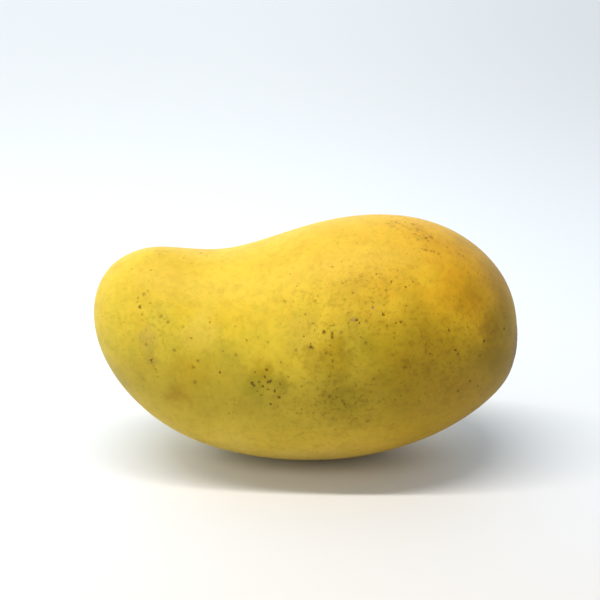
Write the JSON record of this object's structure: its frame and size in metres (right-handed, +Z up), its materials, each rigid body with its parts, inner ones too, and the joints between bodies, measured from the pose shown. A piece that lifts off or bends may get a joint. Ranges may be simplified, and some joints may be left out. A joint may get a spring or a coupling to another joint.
{
  "type": "mango",
  "caption": "Whole ripe yellow mango, long and kidney-shaped, lying on a small flat spot of its belly, with a narrow beaked apex and a round stem scar.",
  "frame": {"origin": "on the surface that the fruit rests on, under the middle of its bounding box", "axes": "+X along the long axis towards the stem end, +Y across the fruit away from the viewer, +Z up"},
  "size_m": [0.1198, 0.0606, 0.0704],
  "materials": {
    "skin": "satin natural skin, mottled golden yellow, olive and brown, with dark green specks"
  },
  "bodies": {
    "root": {"mango": "skin"}
  },
  "joints": []
}
